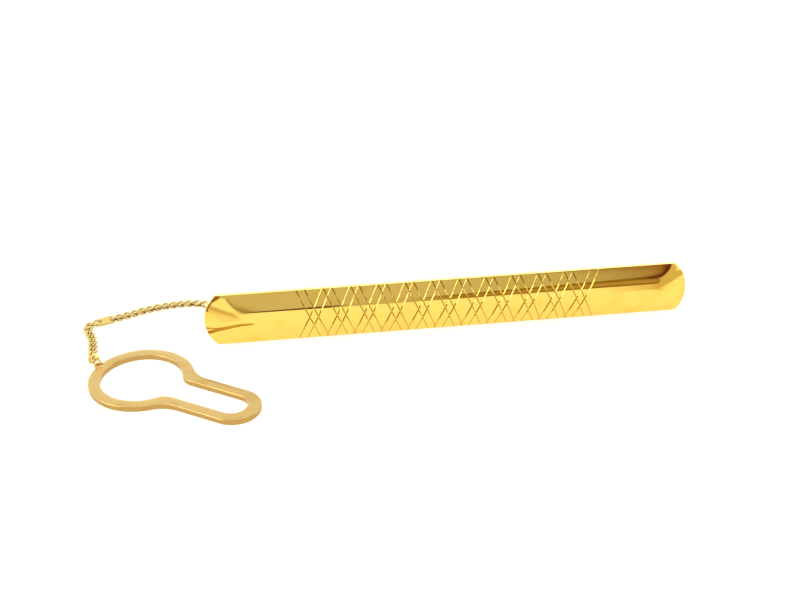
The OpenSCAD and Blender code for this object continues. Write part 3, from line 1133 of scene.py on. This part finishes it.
@dataclass
class SafetyChain:
    """The curb chain with its joining tag. Sizes in millimetres."""

    links: int = 29
    tag_after: int = 19
    half_length: float = 0.76
    half_width: float = 0.47
    wire: float = 0.37
    twist: float = 48.0
    twist_power: float = 0.7
    cut_top: float = 0.33
    cut_side: float = 0.5
    side_cut_at: float = 52.0
    steps: int = 48
    sides: int = 16
    sharp_deg: float = 30.0
    tag_reach: float = 0.76
    tag_width: float = 1.1
    tag_thick: float = 0.28
    tag_edge: float = 0.07
    tag_hole_r: float = 0.27
    tag_lean: float = 30.0
    tag_end_points: int = 17
    punch_half: float = 1.0

    def elements(self) -> list[str]:
        """Names of the chain's elements from the clip to the loop."""
        names = [f"chain_link_{number:02d}" for number in range(1, self.links + 1)]
        return names[: self.tag_after] + ["joining_tag"] + names[self.tag_after :]

    def way_of(self, number: int) -> Vector:
        """Direction of one element, from its own joint to the next."""
        names = self.elements() + ["loop_ring"]
        return (anchor_of(names[number + 1]) - anchor_of(names[number])).normalized()

    def link_points(self) -> Solid:
        """One twisted link along x, with its outer faces cut flat.

        Returns:
            The link's points and faces.
        """
        t = np.arange(self.steps) * 2 * math.pi / self.steps
        turn = math.radians(self.twist) * np.sign(np.cos(t)) * np.abs(np.cos(t)) ** self.twist_power
        side = self.half_width * np.sin(t)
        path = np.stack([self.half_length * np.cos(t), side * np.cos(turn), side * np.sin(turn)], 1)
        points, faces = swept_tube(path, self.wire / 2, self.sides, True)
        for angle, limit in (
            (0, self.cut_top),
            (180, self.cut_top),
            (self.side_cut_at, self.cut_side),
            (180 - self.side_cut_at, self.cut_side),
        ):
            facing = np.array([0, math.cos(math.radians(90 - angle)), math.sin(math.radians(90 - angle))])
            over = np.clip(points @ facing - limit, 0, None)
            points = points - np.outer(over, facing)
        return points, faces

    def frame_of(self, number: int, node: str) -> Matrix:
        """Places one element's own frame, x along it and z up.

        Args:
            number: Its number along the chain.
            node: Its CAD node.

        Returns:
            Matrix from its frame in millimetres to the table's frame in metres.
        """
        along = self.way_of(number)
        side = Vector((0, 0, 1)).cross(along).normalized()
        turn = Matrix((along, side, along.cross(side))).transposed().to_4x4()
        return Matrix.Translation(box_middle(node)) @ turn @ Matrix.Scale(MM, 4)

    def build_link(self, number: int, node: str, finish: bpy.types.Material) -> bpy.types.Object:
        """Builds one link where its CAD node is, and dresses it.

        Args:
            number: Its number along the chain.
            node: Its CAD node.
            finish: Its material.

        Returns:
            The piece, riding on the node's body.
        """
        points, faces = self.link_points()
        placed = place(points, self.frame_of(number, node))
        piece = new_object(node + "_cut", mesh_from(node + "_cut", placed, faces, self.sharp_deg))
        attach(piece, node)
        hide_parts(node)
        dress(piece, finish, "chain_plated")
        return piece

    def build_tag(self, number: int, node: str) -> bpy.types.Object:
        """Builds the flat tag with its rounded edges and two holes where its CAD node is, and dresses it.

        Args:
            number: Its number along the chain.
            node: Its CAD node.

        Returns:
            The piece, riding on the node's body.
        """
        half = self.tag_width / 2
        ends = np.radians(np.linspace(-90, 90, self.tag_end_points))
        cap = np.stack([self.tag_reach + half * np.cos(ends), half * np.sin(ends)], 1)
        plate = rounded_plate(np.vstack([cap, -cap]), -self.tag_thick / 2, self.tag_thick / 2, self.tag_edge)
        holes = [
            (
                Joining.DIFFERENCE,
                round_punch(side * self.tag_reach, self.tag_hole_r, -self.punch_half, self.punch_half),
            )
            for side in (-1, 1)
        ]
        points, faces = combined(plate, *holes)
        matrix = self.frame_of(number, node) @ Matrix.Rotation(math.radians(-self.tag_lean), 4, "X")
        piece = new_object("tag_pressed", mesh_from("tag_pressed", place(points, matrix), faces))
        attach(piece, node)
        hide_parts(node)
        dress(piece, TAG_PLATE.build(), "tag_plated")
        return piece

    def build(self) -> list[bpy.types.Object]:
        """Builds the links and the tag in order from the clip to the loop.

        Returns:
            The pieces.
        """
        cut = CUT_CHAIN.build()
        return [
            self.build_tag(number, node) if node == "joining_tag" else self.build_link(number, node, cut)
            for number, node in enumerate(self.elements())
        ]


@dataclass
class ButtonLoop:
    """The flat keyhole loop with its ear. Sizes in millimetres, and the slot's heading in degrees."""

    heading: float = 325.8
    round_r: float = 6.45
    slot_r: float = 3.28
    slot_reach: float = 13.45
    band: float = 1.42
    slot_end_extra: float = 0.25
    thick: float = 0.7
    waist_r: float = 4.35
    neck_r: float = 2.1
    ear_in: float = 0.1
    ear_hole_r: float = 0.4
    ear_web: float = 0.26
    ear_thick: float = 0.27
    ear_edge: float = 0.05
    ear_sunk: float = 0.002
    ear_relief: float = 1.21
    relief_sides: int = 64
    punch_low: float = -1.0
    punch_high: float = 2.0
    wall_shade_fade: float = 0.6
    edge_r: float = 0.12
    edge_points: int = 5
    round_points: int = 56
    bend_points: int = 20
    side_points: int = 14
    tip_points: int = 24

    def half_outline(self, big: float, small: float, reach: float, bend: float) -> np.ndarray:
        """One side of a keyhole outline from the ear to the slot's end.

        Args:
            big: Radius of the round part.
            small: Half-width of the slot.
            reach: Distance between the centres of the round part and the slot's end.
            bend: Radius of the bend between them.

        Returns:
            Points of x and y, one row each.
        """
        bend_x = math.sqrt((big + bend) ** 2 - (small + bend) ** 2)
        touch = math.atan2(small + bend, bend_x)
        arcs = (
            (0, 0, big, np.linspace(math.pi, touch, self.round_points)),
            (bend_x, small + bend, bend, np.linspace(math.pi + touch, 1.5 * math.pi, self.bend_points)[1:]),
            (reach, 0, small, np.linspace(math.pi / 2, 0, self.tip_points)[1:]),
        )
        first, second, last = (
            [(x + radius * math.cos(a), y + radius * math.sin(a)) for a in angles]
            for x, y, radius, angles in arcs
        )
        side = [(x, small) for x in np.linspace(bend_x, reach, self.side_points)[1:]]
        return np.array(first + second + side + last)

    def outline(self, big: float, small: float, reach: float, bend: float) -> np.ndarray:
        """A whole keyhole outline, once round.

        Args:
            big: Radius of the round part.
            small: Half-width of the slot.
            reach: Distance between the centres of the round part and the slot's end.
            bend: Radius of the bend between them.

        Returns:
            Points of x and y, one row each.
        """
        half = self.half_outline(big, small, reach, bend)
        other = half[::-1] * np.array([1, -1])
        return np.vstack([half, other[1:-1]])

    def section(self) -> list[tuple[float, float, bool]]:
        """Section of the band with its rounded edges, once round.

        Returns:
            Places in from the band's edge, heights, and whether they are taken from the inner edge.
        """
        found = []
        r = self.edge_r
        top = self.thick - r
        for side, middle_z, start in ((1, r, 270), (1, top, 180), (-1, top, 90), (-1, r, 0)):
            for angle in np.radians(np.linspace(start, start - 90, self.edge_points)):
                found.append((side * r + r * math.cos(angle), middle_z + r * math.sin(angle), side < 0))
        return found

    def band_solid(self) -> Solid:
        """The band between its two outlines.

        Returns:
            The band's points and faces.
        """
        outer = self.outline(self.round_r, self.slot_r, self.slot_reach, self.waist_r)
        slot_reach = self.slot_reach - self.slot_end_extra
        inner = self.outline(self.round_r - self.band, self.slot_r - self.band, slot_reach, self.neck_r)
        section = self.section()
        rings = []
        for o, i in zip(outer, inner):
            width = np.linalg.norm(i - o)
            inward = (i - o) / width
            places = [(a + width if from_inner else a, z) for a, z, from_inner in section]
            rings.append([(*(o + inward * a), z) for a, z in places])
        count, sides = len(outer), len(section)
        faces = []
        for s in range(count):
            n = (s + 1) % count
            for k in range(sides):
                m = (k + 1) % sides
                faces.append((s * sides + k, n * sides + k, n * sides + m, s * sides + m))
        return np.array(rings).reshape(-1, 3), faces

    def with_ear(self, band: Solid) -> Solid:
        """Adds the thin pierced ear to the band, and makes room for the ring under it.

        Args:
            band: The band.

        Returns:
            The band with its ear.
        """
        at = self.ear_in - self.round_r
        ear_r = self.ear_hole_r + self.ear_web
        under = self.thick - self.ear_thick
        disc = rounded_plate(round_outline(at, ear_r), under, self.thick - self.ear_sunk, self.ear_edge)
        relief = round_punch(at - ear_r, self.ear_relief, self.punch_low, under, self.relief_sides)
        hole = round_punch(at, self.ear_hole_r, self.punch_low, self.punch_high)
        return combined(band, (Joining.DIFFERENCE, relief), (Joining.UNION, disc), (Joining.DIFFERENCE, hole))

    def build(self) -> bpy.types.Object:
        """Builds the loop with rounded edges and its ear, marks its upright walls for painted shade and dresses
        it.

        Returns:
            The piece, riding on the loop's body in place of its CAD node.
        """
        points, faces = self.with_ear(self.band_solid())
        ear = anchor_of("button_loop")
        turn = Matrix.Rotation(math.radians(self.heading), 4, "Z")
        centre = Vector((ear.x, ear.y, 0)) + turn @ Vector((self.round_r - self.ear_in, 0, 0)) * MM
        matrix = Matrix.Translation(centre) @ turn @ Matrix.Scale(MM, 4)
        mesh = mesh_from("button_loop_satin", place(points, matrix), faces)
        # Faces take painted shade as far as they stand upright.
        wall_shade = [1 - min(abs(face.normal.z) / self.wall_shade_fade, 1) for face in mesh.polygons]
        mark_painted_shade(mesh, np.array(wall_shade, np.float32))
        piece = new_object("button_loop_satin", mesh)
        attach(piece, "button_loop")
        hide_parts("button_loop")
        dress(piece, SATIN_PLATE.build(), "loop_satin")
        return piece


@dataclass
class Studio:
    """Floor and camera. Sizes in millimetres and degrees."""

    camera_from_bar: tuple[float, float, float] = (-27.36, -127.95, 78.94)
    camera_down: float = 29.83
    camera_right: float = 8.99
    camera_roll: float = -0.30
    focal_px: float = 1142.52
    image_px: float = 800.0
    sensor: float = 36.0
    nearest: float = 5.0
    floor_half: float = 1500.0

    def build_camera(self, bar: Matrix) -> None:
        """Stands the camera where the photograph was taken from.

        Args:
            bar: Matrix of the bar's frame.
        """
        down, right, roll = (math.radians(a) for a in (self.camera_down, self.camera_right, self.camera_roll))
        level_x, level_y = math.sin(right), math.cos(right)
        forward = Vector((level_x * math.cos(down), level_y * math.cos(down), -math.sin(down)))
        level = Vector((level_y, -level_x, 0))
        up = level.cross(forward)
        x_axis = math.cos(roll) * level - math.sin(roll) * up
        y_axis = math.sin(roll) * level + math.cos(roll) * up
        turn = Matrix((x_axis, y_axis, -forward)).transposed().to_4x4()
        lens = bpy.data.cameras.new("photo_camera")
        lens.sensor_width = self.sensor
        lens.lens = self.focal_px * self.sensor / self.image_px
        lens.clip_start = self.nearest * MM
        camera = bpy.data.objects.new("photo_camera", lens)
        bpy.context.scene.collection.objects.link(camera)
        where = bar.to_translation() + Vector(self.camera_from_bar) * MM
        camera.matrix_world = Matrix.Translation(where) @ turn
        bpy.context.scene.camera = camera

    def build_floor(self) -> None:
        """Lays the plain white floor under the part."""
        half = self.floor_half * MM
        corners = [(-half, -half, 0), (half, -half, 0), (half, half, 0), (-half, half, 0)]
        mesh = bpy.data.meshes.new("floor")
        mesh.from_pydata(corners, [], [(0, 1, 2, 3)])
        mesh.materials.append(FLOOR_PAPER.build())
        new_object("floor", mesh)


@dataclass(frozen=True)
class Line:
    """A line over the surroundings: where it lies on one axis, at knots along the other. Degrees."""

    at: tuple[float, ...]
    lies: tuple[float, ...]


Place = float | Line


@dataclass(frozen=True)
class Border:
    """One soft side of a window: where the window is clear and where it is full."""

    clear: Place
    full: Place


@dataclass(frozen=True)
class Window:
    """A part of the surroundings inside its borders of azimuth and height.

    Another window may add to it. Azimuth 0 is straight in front of the bar and grows to its right. Heights
    are above the floor.
    """

    azimuth: tuple[Border, ...] = ()
    height: tuple[Border, ...] = ()
    also: "Window | None" = None


@dataclass(frozen=True)
class Patch:
    """A patch of one sRGB colour, seen in its window, with other patches drawn over it."""

    colour: str
    window: Window
    over: tuple["Patch", ...] = ()


@dataclass(frozen=True)
class Lamp:
    """A white lamp of some strength, seen in its window."""

    strength: float
    window: Window


def shifted(line: Place, by: float) -> Place:
    """A place or line moved along its own axis."""
    return Line(line.at, tuple(v + by for v in line.lies)) if isinstance(line, Line) else line + by


def between(low: Line, high: Line, share: float) -> Line:
    """Finds the line at a share of the way from one line to another.

    Args:
        low: The line at share 0.
        high: The line at share 1.
        share: How far the line lies from the first to the second.

    Returns:
        The line, with a knot where either of them has one.
    """
    at = tuple(sorted({*low.at, *high.at}))
    starts, ends = (np.interp(at, line.at, line.lies) for line in (low, high))
    return Line(at, tuple(float(a + (b - a) * share) for a, b in zip(starts, ends)))


def span(low: Place, high: Place, soft: float) -> tuple[Border, Border]:
    """Two borders round the places from low to high, soft outside them."""
    return Border(shifted(low, -soft), low), Border(shifted(high, soft), high)


# The surroundings. In each window the borders of azimuth come first and those of height second. A span has
# its low side, its high side and its softness, and a border where the window is clear and where it is full.
# The light overhead is stronger than that of the white walls.
OVERHEAD = Window(height=(Border(55, 80),))
# Small strong lamps high on both sides, the right one under a slanted edge, and a low bright strip behind.
LAMP_EDGE = Line((70, 116), (19.5, 42.5))
LOW_STRIP = span(-5, 12, 5)
LEFT_LAMP = Lamp(5.0, Window(span(-97, -54, 6), span(28, 58, 5)))
RIGHT_LAMP = Lamp(3.0, Window(span(82, 104, 2), span(16, LAMP_EDGE, 2)))
BACK_LAMP = Lamp(3.0, Window((Border(110, 130),), LOW_STRIP, also=Window((Border(-110, -130),), LOW_STRIP)))
# A warm wall low on the left.
LEFT_WALL = Patch("E3D2B8", Window(span(-60, -4, 4), span(6, 12, 8)))
# A brown screen far on the left, whose near edge slants away from the bar as it comes down.
SCREEN_FAR = Line((22, 28), (-70, -48))
SCREEN_NEAR = Line((2, 30, 50), (-34, -21, -6.5))
LEFT_SCREEN = Patch("9A7048", Window(span(SCREEN_FAR, SCREEN_NEAR, 1.5), span(-1, 57, 2)))
# A warm wall to the right of the room, which reaches further round near the horizon.
WALL_FAR = Line((8, 24), (52, 38))
RIGHT_WALL = Patch("E0D3B2", Window(span(21, WALL_FAR, 3), span(1, 52, 3)))
# A brown screen far on the right, in two parts, below the lamp on that side and above it.
UNDER_LAMP = Line((80, 83), (60, 14))
OVER_LAMP = Line((60, 110), (17, 42))
UPPER_PART = Window(span(74, 96, 4), span(OVER_LAMP, 60, 2))
RIGHT_SCREEN = Patch("A08D68", Window(span(64, 92, 4), span(-2, UNDER_LAMP, 2), also=UPPER_PART))
# The sill under the room's window: dark, pale and brown from left to right, with a paler beam along it.
# Its shares run from 0 at its lower line to 1 at its upper line.
SILL_LOW = Line((1, 11), (14.3, 12.7))
SILL_TOP = Line((2, 23), (16.9, 28.5))
SILL_EDGE = Border(between(SILL_LOW, SILL_TOP, 1.06), between(SILL_LOW, SILL_TOP, 0.97))
BEAM = (
    Border(between(SILL_LOW, SILL_TOP, 0.14), between(SILL_LOW, SILL_TOP, 0.3)),
    Border(between(SILL_LOW, SILL_TOP, 0.78), between(SILL_LOW, SILL_TOP, 0.62)),
)
SILL = Patch(
    "4E420C",
    Window(height=(SILL_EDGE,)),
    over=(
        Patch("D2CEC8", Window((Border(4.5, 5.3),))),
        Patch("93772A", Window((Border(8.8, 11.2),))),
        Patch("BBA076", Window((Border(9, 14),), BEAM)),
    ),
)
# The frame under the room's right part: dark red, and paler towards its upper line.
FRAME_LOW = Line((20, 70), (19.4, 103.4))
FRAME_TOP = Line((20, 22, 29, 70), (23.4, 26.76, 42.52, 111.4))
FRAME_EDGE = Border(between(FRAME_LOW, FRAME_TOP, 1.15), between(FRAME_LOW, FRAME_TOP, 0.9))
FRAME_LIGHT = Border(between(FRAME_LOW, FRAME_TOP, 0.6), FRAME_TOP)
FRAME = Patch(
    "592719",
    Window((Border(21.8, 22.6),), (FRAME_EDGE,)),
    over=(Patch("96563A", Window(height=(FRAME_LIGHT,))),),
)
# The room in front: pale on the left, brown on the right past slanted edges, with a dark post at its left.
ROOM_LEFT = Line((17, 50, 90), (-0.1, -2.7, -42.7))
ROOM_LOW = Line((1, 11, 22.1, 22.45, 22.8, 70), (14.3, 12.7, 12.7, 18.108, 24.104, 103.4))
SLANT = Line((10, 50), (-5.4, 5.4))
ROOM = Patch(
    "D8D6DC",
    Window(span(ROOM_LEFT, 60, 0.15), span(ROOM_LOW, 66, 0.3)),
    over=(
        Patch("CBCDCB", Window((Border(shifted(SLANT, 8), shifted(SLANT, 17)),))),
        Patch("A98F75", Window((Border(shifted(SLANT, 19), shifted(SLANT, 25)),))),
        SILL,
        Patch("7C6A38", Window((Border(shifted(ROOM_LEFT, 0.8), shifted(ROOM_LEFT, 0.5)),))),
        FRAME,
    ),
)


@dataclass
class SkyPainter:
    """Turns lines, windows and patches into nodes of the world's tree."""

    tree: bpy.types.NodeTree
    azimuth: Socket
    height: Socket

    def place_of(self, place_or_line: Place, along: Socket) -> float | Socket:
        """Where a line lies.

        Args:
            place_or_line: A fixed place, or a line.
            along: Place on the line's other axis.

        Returns:
            The fixed place, or the line's place there. Beyond its knots the line runs level.
        """
        if not isinstance(place_or_line, Line):
            return place_or_line
        at, lies = place_or_line.at, place_or_line.lies
        found = lies[0]
        for low, high, start, end in zip(at, at[1:], lies, lies[1:]):
            rise = add_node(
                self.tree,
                "ShaderNodeMapRange",
                {"Value": along, "From Min": low, "From Max": high, "To Max": end - start},
            )
            summed = {0: found, 1: rise.outputs["Result"]}
            found = add_node(self.tree, "ShaderNodeMath", summed, operation="ADD").outputs[0]
        return found

    def mask(self, window: Window) -> Socket:
        """How far each direction lies in a window.

        Args:
            window: The window.

        Returns:
            From 0 outside it to 1 inside it.
        """
        found = None
        for value, along, borders in (
            (self.azimuth, self.height, window.azimuth),
            (self.height, self.azimuth, window.height),
        ):
            for border in borders:
                clear, full = (self.place_of(p, along) for p in (border.clear, border.full))
                ends = {"Value": value, "From Min": clear, "From Max": full}
                part = add_node(self.tree, "ShaderNodeMapRange", ends).outputs["Result"]
                if found is not None:
                    both = {0: found, 1: part}
                    part = add_node(self.tree, "ShaderNodeMath", both, operation="MULTIPLY").outputs[0]
                found = part
        if window.also:
            both = {0: found, 1: self.mask(window.also)}
            found = add_node(self.tree, "ShaderNodeMath", both, operation="MAXIMUM").outputs[0]
        return found

    def paint(self, patch: Patch) -> tuple[float, float, float, float] | Socket:
        """Colour of a patch with the patches over it.

        Args:
            patch: The patch.

        Returns:
            The colour.
        """
        colour = srgb(patch.colour)
        for upper in patch.over:
            colour = add_node(
                self.tree,
                "ShaderNodeMix",
                {MIX_FACTOR: self.mask(upper.window), MIX_COLOUR_A: colour, MIX_COLOUR_B: self.paint(upper)},
                data_type="RGBA",
            ).outputs[MIX_COLOUR]
        return colour


@dataclass
class Surroundings:
    """What the polished metal mirrors: white light all round, with a dimmer room in front."""

    white: float = 1.24
    overhead: float = 1.4
    screen: float = 1.0
    paper: str = "FFFFFF"
    lamps: tuple[Lamp, ...] = (BACK_LAMP, LEFT_LAMP, RIGHT_LAMP)
    patches: tuple[Patch, ...] = (LEFT_WALL, LEFT_SCREEN, RIGHT_WALL, RIGHT_SCREEN, ROOM)

    def painter(self, tree: bpy.types.NodeTree) -> SkyPainter:
        """Reads azimuth and height from the direction of each ray, in degrees.

        Args:
            tree: The world's node tree.

        Returns:
            A painter for that tree.
        """
        way = add_node(tree, "ShaderNodeTexCoord").outputs["Generated"]
        split = add_node(tree, "ShaderNodeSeparateXYZ", {"Vector": way}).outputs
        toward = add_node(tree, "ShaderNodeMath", {0: split["Y"], 1: -1.0}, operation="MULTIPLY").outputs[0]
        angles = []
        for operation, inputs in (("ARCTAN2", {0: split["X"], 1: toward}), ("ARCSINE", {0: split["Z"]})):
            angle = add_node(tree, "ShaderNodeMath", inputs, operation=operation).outputs[0]
            angles.append(add_node(tree, "ShaderNodeMath", {0: angle}, operation="DEGREES").outputs[0])
        return SkyPainter(tree, *angles)

    def light(self, painter: SkyPainter) -> Socket:
        """Strength of the white light with its lamps.

        Args:
            painter: The painter.

        Returns:
            The strength.
        """
        tree = painter.tree
        inputs = {MIX_FACTOR: painter.mask(OVERHEAD), MIX_VALUE_A: self.white, MIX_VALUE_B: self.overhead}
        strength = add_node(tree, "ShaderNodeMix", inputs, data_type="FLOAT").outputs[MIX_VALUE]
        for lamp in self.lamps:
            inputs = {0: painter.mask(lamp.window), 1: lamp.strength}
            lit = add_node(tree, "ShaderNodeMath", inputs, operation="MULTIPLY").outputs[0]
            strength = add_node(tree, "ShaderNodeMath", {0: strength, 1: lit}, operation="MAXIMUM").outputs[0]
        return strength

    def build(self) -> None:
        """Makes the world that lights the scene. The camera itself sees plain white."""
        world = bpy.data.worlds.new("studio")
        bpy.context.scene.world = world
        world.use_nodes = True
        tree = world.node_tree
        tree.nodes.clear()
        painter = self.painter(tree)
        colour, strength = srgb(self.paper), self.light(painter)
        for patch in self.patches:
            mask = painter.mask(patch.window)
            inputs = {MIX_FACTOR: mask, MIX_COLOUR_A: colour, MIX_COLOUR_B: painter.paint(patch)}
            colour = add_node(tree, "ShaderNodeMix", inputs, data_type="RGBA").outputs[MIX_COLOUR]
            inputs = {MIX_FACTOR: mask, MIX_VALUE_A: strength, MIX_VALUE_B: self.screen}
            strength = add_node(tree, "ShaderNodeMix", inputs, data_type="FLOAT").outputs[MIX_VALUE]
        around = add_node(tree, "ShaderNodeBackground", {"Color": colour, "Strength": strength})
        seen = add_node(tree, "ShaderNodeBackground", {"Color": srgb(self.paper), "Strength": 1.0})
        ray = add_node(tree, "ShaderNodeLightPath").outputs["Is Camera Ray"]
        inputs = {0: ray, 1: around.outputs[0], 2: seen.outputs[0]}
        mixed = add_node(tree, "ShaderNodeMixShader", inputs)
        add_node(tree, "ShaderNodeOutputWorld", {"Surface": mixed.outputs[0]})


def main() -> None:
    """Builds the classes in order and reports each piece."""
    logging.basicConfig(level=logging.INFO, format="%(message)s")
    bar_frame = BarFrame()
    studio = Studio()
    studio.build_camera(bar_frame.matrix())
    studio.build_floor()
    Surroundings().build()
    bpy.context.scene.view_settings.view_transform = "Standard"

    clip = HiddenClip(bar=bar_frame)
    pieces = [EngravedBar(to_table=bar_frame.matrix()).build(), clip.build_spring(), *clip.dress_kept()]
    pieces += ChainRings().build()
    pieces += SafetyChain().build()
    pieces.append(ButtonLoop().build())
    for piece in pieces:
        log.info("%s: %d faces", piece.name, len(piece.data.polygons))


if __name__ == "__main__":
    main()
